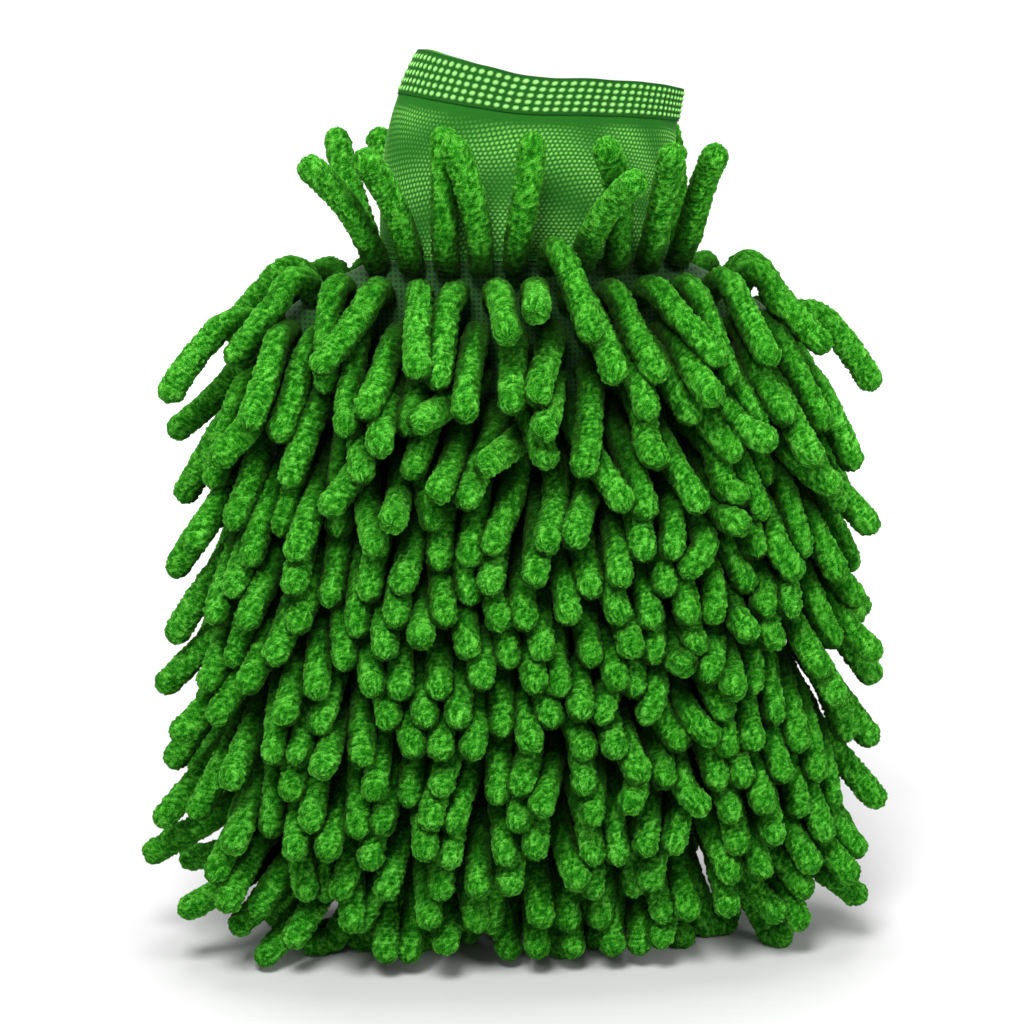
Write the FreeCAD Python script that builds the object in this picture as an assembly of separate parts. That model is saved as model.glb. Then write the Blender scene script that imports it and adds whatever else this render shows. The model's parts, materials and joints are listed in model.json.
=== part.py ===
"""Chenille wash mitt, in millimetres, +Z up, the origin at the centre of its footprint on the floor.

Two tufted backing panels are sewn face to face round a sewn-in lining, which makes a pocket for a hand.
Rows of chenille noodles cover both panels. A knitted cuff with an elastic hem is sewn to the neck.
The cuff tips forwards and backwards on the soft knit just above its seam.
-Y is the front, and the hand goes in from above, through the cuff.
"""

import FreeCAD
import Part

import math
import os

from FreeCAD import Placement, Rotation, Vector

# Chenille noodles
NOODLE_DIAMETER = 8.2
NOODLE_LENGTH = 40.0
NOODLE_PITCH = 10.8
NOODLE_GAP = 0.25
TIP_STEPS = (0.0, 35.0, 68.0)
FRINGE_LENGTH = 34.0

# The tufted bag, on its outer face
BAG_BOTTOM = 34.0
NECK_HEIGHT = 218.0
BODY_HALF_WIDTH = 84.0
BODY_NARROWING = 6.0
NECK_HALF_WIDTH = 43.5
SHOULDER_DROP = 26.0
BOTTOM_CORNER = 16.0
BODY_HALF_DEPTH = 21.0
BOTTOM_HALF_DEPTH = 5.5
NECK_HALF_DEPTH = 14.5
FULL_DEPTH_ABOVE = 55.0
DEPTH_FALLS_OVER = 53.0

# Fabric layers, as insets from the bag's outer face
BACKING_THICKNESS = 1.5
LINING_INSET = 2.4
LINING_THICKNESS = 1.0
ROW_THREAD_INSET = 1.95
THREAD_WIDTH = 0.3
THREAD_FROM_SEAM = 2.8
SEAM_HALF_GAP = 0.6
TAPE_HALF_THICKNESS = 0.5
TAPE_WIDTH = 6.5
NECK_TAPE_DEPTH = 1.2

# Rows of noodles up the bag
ROW_COUNT = 17
FIRST_ROW_HEIGHT = 44.0
LAST_ROW_HEIGHT = 206.5

# How far each noodle points down for one unit outwards, and how that changes up the bag
DROOP = 0.85
EDGE_DROOP = 0.45
TOP_ROWS_FROM = 0.75
TOP_RISE = 0.55
FOOT_ROWS_TO = 0.12
FOOT_DROOP = 0.6
BOTTOM_SPLAY = 0.7

# Noodles round the neck, beside the cuff's foot
FRINGE_PER_SIDE = 10
FRINGE_SPREAD = 0.9
FRINGE_HEIGHT = 217.0
FRINGE_RISE = 60.0

# Cuff, measured along its own axis from the neck seam
CUFF_BOTTOM = 219.4
CUFF_LENGTH = 50.0
CUFF_TOP_HALF_WIDTH = 41.0
CUFF_TOP_HALF_DEPTH = 14.0
CUFF_LEAN = 6.0
CUFF_THICKNESS = 1.2
RIM_TILT_SIDEWAYS = 8.0
RIM_TILT_BACK = 12.0
FLEX_SHARE = 0.19
HEM_SHARE = 0.81
LAYER_GAP = 0.15
HEM_WALL = 0.8
ELASTIC_THICKNESS = 1.0

# Care label
LABEL_SIZE = (6.0, 0.5, 15.0)
LABEL_X = -3.0

# Stitches
STITCH_PITCH = 5.5
STITCH_LENGTH = 2.4
STITCH_CLEAR = 0.4
BOTTOM_STITCHES_SPREAD = 0.78
STITCH_WIDTH = 0.4

OUT = "parts"
FRONT, BACK = -1, 1
RADIUS = NOODLE_DIAMETER / 2


def quarter_rise(share):
    """0 to 1 along a quarter sine, level at its end."""
    return math.sin(math.pi / 2 * min(max(share, 0.0), 1.0))


def quarter_fall(share):
    """1 to 0 along a quarter cosine, level at its start."""
    return math.cos(math.pi / 2 * min(max(share, 0.0), 1.0))


def half_width(z):
    """The bag's half width: rounded bottom corners, sides that narrow upwards and rounded shoulders."""
    up = (z - BAG_BOTTOM) / (NECK_HEIGHT - BAG_BOTTOM)
    body = BODY_HALF_WIDTH - BODY_NARROWING * up
    shoulder = (z - (NECK_HEIGHT - SHOULDER_DROP)) / SHOULDER_DROP
    if shoulder > 0:
        return NECK_HALF_WIDTH + (body - NECK_HALF_WIDTH) * quarter_fall(shoulder)
    corner = (z - BAG_BOTTOM) / BOTTOM_CORNER
    return body - BOTTOM_CORNER + BOTTOM_CORNER * quarter_rise(corner)


def half_depth(z):
    """The bag's half depth: closed at the bottom edge, full in the body and flatter at the neck."""
    lower = (z - BAG_BOTTOM) / FULL_DEPTH_ABOVE
    upper = (z - (NECK_HEIGHT - DEPTH_FALLS_OVER)) / DEPTH_FALLS_OVER
    if upper > 0:
        return NECK_HALF_DEPTH + (BODY_HALF_DEPTH - NECK_HALF_DEPTH) * quarter_fall(upper)
    return BOTTOM_HALF_DEPTH + (BODY_HALF_DEPTH - BOTTOM_HALF_DEPTH) * quarter_rise(lower)


def slope(profile, z, step=0.05):
    return (profile(z + step) - profile(z - step)) / (2 * step)


def bag_point(z, turn, side):
    """A point on the bag's outer face at a height, turned from the +X seam at 0 to the -X seam at pi."""
    return Vector(half_width(z) * math.cos(turn), side * half_depth(z) * math.sin(turn), z)


def bag_normal(point):
    a = half_width(point.z)
    b = half_depth(point.z)
    rise = point.x**2 * slope(half_width, point.z) / a**3 + point.y**2 * slope(half_depth, point.z) / b**3
    return Vector(point.x / a**2, point.y / b**2, -rise).normalize()


def evenly_spaced_turns(z, shares):
    """The turns at which shares of the way along the half ellipse lie, measured along the cloth."""
    steps = 400
    reached = [0.0]
    for i in range(steps):
        middle = math.pi * (i + 0.5) / steps
        across = half_width(z) * math.sin(middle)
        along = half_depth(z) * math.cos(middle)
        reached.append(reached[-1] + math.hypot(across, along) * math.pi / steps)
    turns = []
    for share in shares:
        wanted = share * reached[-1]
        i = next(k for k in range(1, steps + 1) if reached[k] >= wanted - 1e-9)
        part = (wanted - reached[i - 1]) / (reached[i] - reached[i - 1])
        turns.append(math.pi * (i - 1 + part) / steps)
    return turns


def half_girth(z):
    a = half_width(z)
    b = half_depth(z)
    return math.pi / 2 * (3 * (a + b) - math.sqrt((3 * a + b) * (a + 3 * b)))


def ellipse_wire(centre, half_x, half_y, tilt_y=0.0, tilt_x=0.0):
    """A closed ellipse, level unless it is tilted about Y and then X through its centre."""
    edge = Part.Ellipse(Vector(0, 0, 0), half_x, half_y).toShape()
    turn = Rotation(Vector(1, 0, 0), tilt_x).multiply(Rotation(Vector(0, 1, 0), tilt_y))
    wire = Part.Wire([edge])
    wire.Placement = Placement(centre, turn)
    return wire


def bag_heights():
    """Heights of the bag's sections, closer together where the outline turns."""
    shoulder = NECK_HEIGHT - SHOULDER_DROP
    body = BAG_BOTTOM + BOTTOM_CORNER
    heights = [BAG_BOTTOM + BOTTOM_CORNER * share for share in (0, 0.1, 0.25, 0.45, 0.7)]
    heights += [body + (shoulder - body) * share for share in (0, 0.08, 0.17, 0.28, 0.45, 0.65, 0.8, 0.9)]
    return heights + [shoulder + SHOULDER_DROP * share for share in (0, 0.25, 0.45, 0.62, 0.77, 0.89, 1)]


def bag_form(inset, above_neck=0.0):
    """The solid inside the bag's outer face, moved in by inset, and carried on above the neck."""
    wires = []
    for z in bag_heights():
        share = (z - BAG_BOTTOM) / (NECK_HEIGHT - BAG_BOTTOM)
        level = z + inset * (1 - share)
        wires.append(ellipse_wire(Vector(0, 0, level), half_width(z) - inset, half_depth(z) - inset))
    if above_neck:
        neck = Vector(0, 0, NECK_HEIGHT + above_neck)
        wires.append(ellipse_wire(neck, NECK_HALF_WIDTH - inset, NECK_HALF_DEPTH - inset))
    return Part.makeLoft(wires, True, True)


def inset_sizes(z, inset):
    """Half width and half depth, at a height, of the form that is moved in by inset."""
    span = NECK_HEIGHT - BAG_BOTTOM
    outer_z = (z - inset * (1 + BAG_BOTTOM / span)) / (1 - inset / span)
    heights = bag_heights()
    k = max(i for i in range(len(heights) - 1) if heights[i] <= outer_z)
    part = (outer_z - heights[k]) / (heights[k + 1] - heights[k])
    sizes = []
    for profile in (half_width, half_depth):
        sizes.append(profile(heights[k]) * (1 - part) + profile(heights[k + 1]) * part - inset)
    return sizes


def slab(y_low, y_high):
    """Everything between two planes across Y."""
    reach = 400.0
    return Part.makeBox(reach, y_high - y_low, reach, Vector(-reach / 2, y_low, -reach / 8))


def half_space(side):
    """Everything on one side of the seam, clear of the seam tape."""
    if side == FRONT:
        return slab(-200.0, -SEAM_HALF_GAP)
    return slab(SEAM_HALF_GAP, 200.0)


def bag_layer(outer_inset, inner_inset, side):
    shell = bag_form(outer_inset).cut(bag_form(inner_inset, above_neck=2.0))
    return shell.common(half_space(side))


def make_bag_cloth(nodes):
    for name, side in (("front", FRONT), ("back", BACK)):
        nodes[name + "_backing"] = bag_layer(0.0, BACKING_THICKNESS, side)
        nodes[name + "_lining"] = bag_layer(LINING_INSET, LINING_INSET + LINING_THICKNESS, side)
    below_neck = Part.makeBox(400, 400, NECK_HEIGHT - NECK_TAPE_DEPTH, Vector(-200, -200, 0))
    nodes["seam_tape"] = seam_plate(0.0).cut(seam_plate(TAPE_WIDTH)).common(below_neck)


def seam_plate(inset):
    """A plate in the seam's plane, inside the bag's outline by inset, open at the neck when inset."""
    count = 60
    rise = (NECK_HEIGHT - BAG_BOTTOM - inset) / count
    right = []
    for i in range(count + 1):
        level = BAG_BOTTOM + inset + rise * i
        right.append(Vector(half_width(level - inset * (1 - i / count)) - inset, -TAPE_HALF_THICKNESS, level))
    if inset:
        right.append(Vector(right[-1].x, right[-1].y, NECK_HEIGHT + 2.0))
    left = [Vector(-p.x, p.y, p.z) for p in reversed(right)]
    outline = Part.makePolygon(right + left + right[:1])
    return Part.Face(outline).extrude(Vector(0, 2 * TAPE_HALF_THICKNESS, 0))


def side_stitch_heights():
    """Heights of the stitches down one side, a stitch pitch apart along the seam."""
    z = NECK_HEIGHT - 5.0
    while z > BAG_BOTTOM + BOTTOM_CORNER:
        yield z
        z -= STITCH_PITCH / math.sqrt(1 + slope(half_width, z) ** 2)


def make_seam_stitches(nodes):
    """Overlock stitches across both faces of the tape, in the pocket, clear of the lining."""
    inset = LINING_INSET + LINING_THICKNESS
    boxes = []
    for z in side_stitch_heights():
        half_x = inset_sizes(z, inset)[0] - STITCH_CLEAR
        boxes.append((Vector(half_x - STITCH_LENGTH / 2, 0, z), STITCH_LENGTH, STITCH_WIDTH))
    low = BAG_BOTTOM + inset + STITCH_CLEAR
    count = int(2 * BOTTOM_STITCHES_SPREAD * half_width(BAG_BOTTOM) / STITCH_PITCH)
    for i in range(count + 1):
        boxes.append((Vector(STITCH_PITCH * (i - count / 2), 0, low + STITCH_LENGTH / 2), STITCH_WIDTH, STITCH_LENGTH))
    stitches = []
    for middle, size_x, size_z in boxes:
        for mirror in (1, -1) if size_x > size_z else (1,):
            for side in (FRONT, BACK):
                size = Vector(size_x, STITCH_WIDTH, size_z)
                face = side * (TAPE_HALF_THICKNESS + 0.02 + STITCH_WIDTH / 2)
                corner = Vector(mirror * middle.x, face, middle.z) - size / 2
                stitches.append(Part.makeBox(size.x, size.y, size.z, corner))
    nodes["seam_stitches"] = Part.makeCompound(stitches)


def row_heights():
    gap = (LAST_ROW_HEIGHT - FIRST_ROW_HEIGHT) / (ROW_COUNT - 1)
    return [FIRST_ROW_HEIGHT + gap * i for i in range(ROW_COUNT)]


def thread_arc(z, side):
    """One row's sewing thread, square in section, between the backing and the lining."""
    a, b = inset_sizes(z, ROW_THREAD_INSET)
    curve = Part.Ellipse(Vector(0, 0, z), a, b)
    margin = math.asin(min(0.9, THREAD_FROM_SEAM / b))
    if side == FRONT:
        edge = curve.toShape(math.pi + margin, 2 * math.pi - margin)
    else:
        edge = curve.toShape(margin, math.pi - margin)
    start = edge.valueAt(edge.FirstParameter)
    along = edge.tangentAt(edge.FirstParameter)
    across = along.cross(Vector(0, 0, 1)) * (THREAD_WIDTH / 2)
    up = Vector(0, 0, THREAD_WIDTH / 2)
    corners = [start + across + up, start - across + up, start - across - up, start + across - up]
    section = Part.makePolygon(corners + corners[:1])
    return Part.Wire([edge]).makePipeShell([section], True, False)


def make_row_threads(nodes):
    for name, side in (("front", FRONT), ("back", BACK)):
        threads = [thread_arc(z, side) for z in row_heights()]
        nodes[name + "_row_threads"] = Part.makeCompound(threads)


def straight_noodle(length):
    """A noodle from the origin up +Z: flat where it is sewn down, and rounded off in two steps at its tip."""
    profile = [Vector(0, 0, 0), Vector(RADIUS, 0, 0)]
    for turn in TIP_STEPS:
        angle = math.radians(turn)
        profile.append(Vector(RADIUS * math.cos(angle), 0, length - RADIUS + RADIUS * math.sin(angle)))
    profile.append(Vector(0, 0, profile[-1].z))
    face = Part.Face(Part.makePolygon(profile + profile[:1]))
    return face.revolve(Vector(0, 0, 0), Vector(0, 0, 1), 360)


def noodle(root, direction, length):
    """A noodle whose flat end is centred on root. One that would go through the floor is cut off level with it."""
    solid = straight_noodle(length)
    solid.Placement = Placement(root, Rotation(Vector(0, 0, 1), direction))
    if (root + direction * length).z < RADIUS + 0.05:
        solid = solid.common(Part.makeBox(400, 400, 400, Vector(-200, -200, 0)))
    return solid


def sewn_down(point, normal, direction):
    """The middle of a noodle's flat end, whose edge is just clear of the cloth at point."""
    lean = math.sqrt(max(0.0, 1 - (normal * direction) ** 2))
    return point + normal * (RADIUS * lean + NOODLE_GAP)


def row_direction(point, z):
    """Which way a noodle points: off the cloth, combed down, more so at the sides, and up beside the neck."""
    out = bag_normal(point)
    share = (z - FIRST_ROW_HEIGHT) / (LAST_ROW_HEIGHT - FIRST_ROW_HEIGHT)
    edge = (point.x / half_width(z)) ** 4
    top = max(0.0, (share - TOP_ROWS_FROM) / (1 - TOP_ROWS_FROM))
    foot = max(0.0, 1 - share / FOOT_ROWS_TO)
    drop = (DROOP + EDGE_DROOP * edge) * (1 - top) - TOP_RISE * top + FOOT_DROOP * foot
    return (out - Vector(0, 0, drop)).normalize()


def floor_length(root, direction):
    """The usual length, or longer by a little where that lets the tip stand on the floor."""
    if direction.z > -0.5:
        return NOODLE_LENGTH
    to_floor = root.z / -direction.z + 2 * RADIUS
    return to_floor if to_floor < NOODLE_LENGTH * 1.12 + RADIUS else NOODLE_LENGTH


def row_noodles():
    """(node name, root, direction, length) of every noodle sewn to the bag, row by row."""
    placed = []
    for index, z in enumerate(row_heights()):
        count = round(half_girth(z) / NOODLE_PITCH)
        staggered = index % 2 == 1
        if staggered:
            shares = [i / count for i in range(1, count)]
        else:
            shares = [(i + 0.5) / count for i in range(count)]
        for name, side in (("front", FRONT), ("back", BACK)):
            for turn in evenly_spaced_turns(z, shares):
                point = bag_point(z, turn, side)
                placed.append((f"{name}_row_{index + 1:02d}", point))
        if staggered:
            placed.append(("right_edge_noodles", bag_point(z, 0.0, BACK)))
            placed.append(("left_edge_noodles", bag_point(z, math.pi, BACK)))
    found = []
    for name, point in placed:
        direction = row_direction(point, point.z)
        root = sewn_down(point, bag_normal(point), direction)
        found.append((name, root, direction, floor_length(root, direction)))
    return found


def bottom_noodles():
    """The double row under the bottom seam, which the mitt stands on. It splays out towards the corners."""
    reach = half_width(BAG_BOTTOM) - RADIUS
    count = int(2 * reach / NOODLE_PITCH)
    found = []
    for i in range(count + 1):
        x = NOODLE_PITCH * (i - count / 2)
        direction = Vector(BOTTOM_SPLAY * (x / reach) ** 3, 0, -1).normalize()
        for side in (FRONT, BACK):
            root = sewn_down(Vector(x, side * (RADIUS + NOODLE_GAP), BAG_BOTTOM), Vector(0, 0, -1), direction)
            found.append(("bottom_noodles", root, direction, floor_length(root, direction)))
    return found


def cuff_station(share, inset):
    """The cuff's outer ellipse a share of the way up, moved in by inset: centre, half sizes and tilts."""
    centre = Vector(CUFF_LEAN * share, 0, CUFF_BOTTOM + CUFF_LENGTH * share)
    half_x = NECK_HALF_WIDTH + (CUFF_TOP_HALF_WIDTH - NECK_HALF_WIDTH) * share - inset
    half_y = NECK_HALF_DEPTH + (CUFF_TOP_HALF_DEPTH - NECK_HALF_DEPTH) * share - inset
    return centre, half_x, half_y, RIM_TILT_SIDEWAYS * share, -RIM_TILT_BACK * share


def cuff_form(low, high, inset):
    """The solid inside the cuff's outer face between two shares of its height."""
    shares = [low + (high - low) * i / 4 for i in range(5)]
    return Part.makeLoft([ellipse_wire(*cuff_station(share, inset)) for share in shares], True, False)


def cuff_tube(low, high, outer, inner):
    past = 0.03
    return cuff_form(low, high, outer).cut(cuff_form(low - past, high + past, inner))


def make_cuff(nodes):
    step = LAYER_GAP / CUFF_LENGTH
    nodes["cuff_flex"] = cuff_tube(0.0, FLEX_SHARE - step, 0.0, CUFF_THICKNESS)
    nodes["cuff_sleeve"] = cuff_tube(FLEX_SHARE, HEM_SHARE - step, 0.0, CUFF_THICKNESS)
    outer = -HEM_WALL / 2
    channel = outer + HEM_WALL
    channel_end = channel + ELASTIC_THICKNESS + 2 * LAYER_GAP
    inner = channel_end + HEM_WALL
    fold = HEM_WALL / CUFF_LENGTH
    hem = cuff_tube(HEM_SHARE, 1.0, outer, inner)
    slot_low = HEM_SHARE - 0.03
    slot = cuff_form(slot_low, 1.0 - fold, channel).cut(cuff_form(slot_low - 0.03, 1.03, channel_end))
    nodes["cuff_hem"] = hem.cut(slot)
    low = HEM_SHARE + 2 * step
    high = 1.0 - fold - 2 * step
    nodes["hem_elastic"] = cuff_tube(low, high, channel + LAYER_GAP, channel_end - LAYER_GAP)
    nodes["cuff_side_seam"] = side_seam(inner)


def side_seam(hem_inset):
    """The cuff's own closing seam, folded flat inside the sleeve at the -X side."""
    wires = []
    for share in (FLEX_SHARE + 0.02, HEM_SHARE - 0.02):
        centre, half_x, _, tilt_y, tilt_x = cuff_station(share, CUFF_THICKNESS + 0.35)
        left = centre - Vector(half_x * math.cos(math.radians(tilt_y)), 0, 0)
        left.z += half_x * math.sin(math.radians(tilt_y))
        wires.append(rectangle_wire(left + Vector(2.0, 0, 0), 4.0, 1.6))
    return Part.makeLoft(wires, True, True)


def rectangle_wire(centre, size_x, size_y):
    corners = []
    for sign_x, sign_y in ((-1, -1), (1, -1), (1, 1), (-1, 1), (-1, -1)):
        corners.append(centre + Vector(sign_x * size_x / 2, sign_y * size_y / 2, 0))
    return Part.makePolygon(corners)


def make_neck_seam(nodes):
    """The tape that joins the bag's neck to the cuff, inside both, and its stitches."""
    inset = LINING_INSET + LINING_THICKNESS + 0.2
    centre = Vector(0, 0, NECK_HEIGHT - 0.9)
    outer = ellipse_wire(centre, NECK_HALF_WIDTH - inset, NECK_HALF_DEPTH - inset)
    inner = ellipse_wire(centre, NECK_HALF_WIDTH - inset - 1.0, NECK_HALF_DEPTH - inset - 1.0)
    ring = Part.Face(outer).cut(Part.Face(inner)).extrude(Vector(0, 0, 1.0))
    lip_outer = ellipse_wire(Vector(0, 0, NECK_HEIGHT + 0.1), NECK_HALF_WIDTH, NECK_HALF_DEPTH)
    lip_inner = ellipse_wire(Vector(0, 0, NECK_HEIGHT + 0.1), NECK_HALF_WIDTH - inset - 1.0,
                             NECK_HALF_DEPTH - inset - 1.0)
    lip = Part.Face(lip_outer).cut(Part.Face(lip_inner)).extrude(Vector(0, 0, 1.1))
    nodes["neck_seam_tape"] = lip.fuse(ring).removeSplitter()


def fringe_noodles():
    """Noodles sewn round the top of the neck, which stand up in front of the cuff and behind it."""
    half_x = half_width(FRINGE_HEIGHT) + RADIUS + NOODLE_GAP
    half_y = half_depth(FRINGE_HEIGHT) + RADIUS + NOODLE_GAP
    rise = math.radians(FRINGE_RISE)
    found = []
    for name, side in (("front", FRONT), ("back", BACK)):
        for i in range(FRINGE_PER_SIDE):
            x = FRINGE_SPREAD * half_x * (2 * i / (FRINGE_PER_SIDE - 1) - 1)
            y = side * half_y * math.sqrt(1 - (x / half_x) ** 2)
            out = Vector(x / half_x**2, y / half_y**2, 0).normalize()
            direction = out * math.cos(rise) + Vector(0, 0, math.sin(rise))
            found.append((f"{name}_neck_fringe", Vector(x, y, FRINGE_HEIGHT), direction, FRINGE_LENGTH))
    return found


def make_noodles(nodes):
    groups = {}
    for name, root, direction, length in row_noodles() + bottom_noodles() + fringe_noodles():
        groups.setdefault(name, []).append(noodle(root, direction, length))
    for name, solids in groups.items():
        nodes[name] = Part.makeCompound(solids)


def make_label(nodes):
    """A blank care label, sewn into the front of the neck seam."""
    width, thickness, height = LABEL_SIZE
    centre, _, half_y, _, _ = cuff_station(FLEX_SHARE, 0.0)
    corner = Vector(LABEL_X - width / 2, -half_y - thickness - 0.3, centre.z + 0.2)
    nodes["care_label"] = Part.makeBox(width, thickness, height, corner)


def main():
    nodes = {}
    make_bag_cloth(nodes)
    make_seam_stitches(nodes)
    make_row_threads(nodes)
    make_neck_seam(nodes)
    make_cuff(nodes)
    make_label(nodes)
    make_noodles(nodes)
    os.makedirs(OUT, exist_ok=True)
    for name in sorted(nodes):
        shape = nodes[name]
        if not shape.isValid():
            print("INVALID", name)
        print(name, len(shape.Solids), round(shape.Volume, 1))
        shape.exportStep(os.path.join(OUT, name + ".step"))


main()
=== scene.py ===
"""Looks of the chenille wash mitt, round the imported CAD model. Metres, +Z up, -Y the front.

The noodles start as the CAD's straight rows. A small rod simulation then lets them hang, cross and rest
on each other, on the bag, on the cuff and on the floor, and each is skinned as a strand of chenille.
"""

import bmesh
import bpy
import json
import math
import numpy as np
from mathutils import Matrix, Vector
from mathutils.bvhtree import BVHTree
from mathutils.kdtree import KDTree


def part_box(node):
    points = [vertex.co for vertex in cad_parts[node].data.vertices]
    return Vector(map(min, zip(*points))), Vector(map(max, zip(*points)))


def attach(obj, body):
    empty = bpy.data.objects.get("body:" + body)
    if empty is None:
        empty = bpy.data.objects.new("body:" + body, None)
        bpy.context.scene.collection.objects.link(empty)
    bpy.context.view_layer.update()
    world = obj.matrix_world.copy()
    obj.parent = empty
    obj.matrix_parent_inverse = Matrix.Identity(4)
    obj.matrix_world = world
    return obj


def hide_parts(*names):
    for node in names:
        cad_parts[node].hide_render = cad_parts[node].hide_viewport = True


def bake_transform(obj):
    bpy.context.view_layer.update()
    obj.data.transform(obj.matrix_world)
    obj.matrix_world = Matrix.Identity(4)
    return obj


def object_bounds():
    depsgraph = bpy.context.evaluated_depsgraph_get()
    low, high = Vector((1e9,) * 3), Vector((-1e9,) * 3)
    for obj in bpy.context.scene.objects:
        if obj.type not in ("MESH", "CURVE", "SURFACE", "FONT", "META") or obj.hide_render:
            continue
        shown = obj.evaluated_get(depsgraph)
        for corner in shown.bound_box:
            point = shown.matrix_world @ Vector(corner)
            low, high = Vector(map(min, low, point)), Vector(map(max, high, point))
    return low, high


SEED = 7

# Noodles, as simulated
NOODLE_RADIUS = 0.0040
NOODLE_LENGTH = 0.043
ROOT_BURIED = 0.001
ROD_POINTS = 11
TURN_SEGMENTS = 3
ARCHED_TURN_SEGMENTS = 4
SETTLE_STEPS = 150
SOLVER_ROUNDS = 5
STEP_SECONDS = 0.006
LONGEST_STEP = 0.0015
PAIRS_EVERY_STEPS = 6
PAIRS_MARGIN = 0.0022
GRAVITY = 4.5
PULL_AT_ROOT = 0.4
VELOCITY_KEPT = 0.90
BEND_HOLD = 0.40
TOUCH_DISTANCE = 2 * NOODLE_RADIUS * 0.96
CLOTH_CLEARANCE = NOODLE_RADIUS * 0.95
FLOOR_CLEARANCE = NOODLE_RADIUS * 0.97
PUSH_LIMIT = 0.002
PROFILE_SECTIONS = 110
MANY_POINTS = 400
CURL = 7.0
DIRECTION_SCATTER = 0.17
SIDEWAYS_COMB = 0.95
COMB_EASED_AT_EDGE = 0.45
COMB_HALF_WIDTH = 0.080
EDGE_DROOP = 0.55
TOP_ROWS_DROOP = {"row_17": 1.30, "row_16": 1.00, "row_15": 0.60, "row_14": 0.25}
TOP_ROWS_SPREAD = 0.28
TOP_ROWS_FAN = 0.50
FAN_STEEPNESS = 2.5
TOP_ROWS_SCATTER = 0.16
SHOULDER_DROOP = 0.6
SHOULDER_HEIGHT = 0.17
CORNER_FROM = 0.055
FRINGE_DROOP = 1.8
FRINGE_DROOPING_SHARE = 0.14
FRINGE_STAND = 0.35
FOOT_HEIGHT = 0.060
FOOT_SPLAY = 1.3
FOOT_STEP_OUT = 0.6

# Noodles, as skinned
RINGS = 80
RING_POINTS = 30
CAP_SHARE = 0.11
RIDGE_PITCH = 0.0015
PILE_HEIGHT = 0.0013
GRAIN_CONTRAST = 0.24
GRAIN_SHARE, RIDGE_SHARE = 0.78, 0.22
ROOT_THINNING, ROOT_THINNING_REACH = 0.10, 0.006
SWELL, SWELL_LENGTH = 0.025, 0.0065

# Painted shade: how the colour darkens down in the pile, among the other noodles
SHADE_STATIONS = 14
SHADE_DIRECTIONS = 10
SHADE_SPACING = 8
SHADE_REACH = 0.018
SHADE_DEPTH = 0.85

# Knitted cuff. Its height is given in shares of the way from the neck seam to the rim
CUFF_TOP_HEIGHT = 0.2685
CUFF_LEAN = 0.0078
CUFF_HALF_WIDTH_LOW, CUFF_HALF_WIDTH_TOP = 0.0435, 0.0393
CUFF_HALF_DEPTH_LOW, CUFF_HALF_DEPTH_TOP = 0.0145, 0.0130
RIM_TILT_BACK = 12.0
RIM_LEFT_RISE = 0.0105
RIM_RIGHT_DROP = 0.0020
CUFF_COLUMNS = 90
CUFF_COLUMN_POINTS = 8
HEM_ROWS = 5
HEM_ROW_SHARE = 0.0355
HEM_EDGE_SHARE = 0.012
HEM_LOW_SHARE = 0.80
SLEEVE_COURSES = 44
SLEEVE_LOOP_HEIGHT = 0.00030
HEM_LOOP_HEIGHT = 0.00042
ELASTIC_RIB_SHARE, ELASTIC_RIB_HEIGHT = 0.022, 0.0001
SLEEVE_THICKNESS, HEM_THICKNESS, ELASTIC_THICKNESS = 0.0012, 0.0027, 0.0010
HEM_STEP_OUT = 0.0004
ELASTIC_INSET = 0.0006
TUBE_INNER_RINGS = 12

# Care label
LABEL_SHOWN = 0.45
LABEL_LEAN = 0.0012
LABEL_CURVE = 0.0004
LABEL_THICKNESS = 0.00035

# Bag cloth
SEAM_GAP = 0.0006
PANEL_COLUMNS = 150
PANEL_ROWS = 170
PUCKER_DEPTH = 0.0008
PUCKER_REACH = 0.0035
BACKING_INSETS, LINING_INSETS = (0.0, 0.0015), (0.0024, 0.0034)
BACKING_FOOT_GAP, LINING_FOOT_GAP, NECK_GAP = 0.0004, 0.0030, 0.0003

# Threads per metre that a wave texture of scale 1 draws, two to a band
THREADS_PER_WAVE_SCALE = 6.3

# View
WORLD_STRENGTH = 0.32
FLOOR_HALF_SIZE = 12.0
FLOOR_GREY = 0.53
FLOOR_GLOW = 0.86
FLOOR_GLOW_REACH = (0.08, 0.85)
CAMERA_AZIMUTH = math.radians(-6.0)
CAMERA_ELEVATION = math.radians(13.0)
CAMERA_LENS = 100.0
CAMERA_DISTANCE = 0.87
VIEW_OFFSET = (-0.004, 0.001)

# Area lights: place, aim, size and watts
LIGHTS = {
    "key": ((-0.30, -0.95, 1.25), (0, 0, 0.12), 0.5, 31),
    "fill": ((0.8, -0.9, 0.7), (0, 0, 0.12), 0.6, 8),
    "top": ((0.0, 0.15, 1.4), (0, 0, 0.1), 0.8, 16),
}

rng = np.random.default_rng(SEED)
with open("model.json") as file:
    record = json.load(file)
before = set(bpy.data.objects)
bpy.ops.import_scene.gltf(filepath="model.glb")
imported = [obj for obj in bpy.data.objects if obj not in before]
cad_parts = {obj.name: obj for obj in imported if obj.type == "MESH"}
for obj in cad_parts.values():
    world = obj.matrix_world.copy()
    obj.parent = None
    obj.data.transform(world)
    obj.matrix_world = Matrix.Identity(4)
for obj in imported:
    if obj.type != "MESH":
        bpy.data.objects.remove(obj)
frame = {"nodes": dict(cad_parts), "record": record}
cad_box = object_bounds()
scene = bpy.context.scene


# ---------------------------------------------------------------- meshes

def world_bvh(names):
    """One search tree over several CAD nodes."""
    verts = []
    faces = []
    for name in names:
        mesh = frame["nodes"][name].data
        base = len(verts)
        verts.extend(v.co.copy() for v in mesh.vertices)
        faces.extend([base + i for i in p.vertices] for p in mesh.polygons)
    return BVHTree.FromPolygons(verts, faces)


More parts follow.
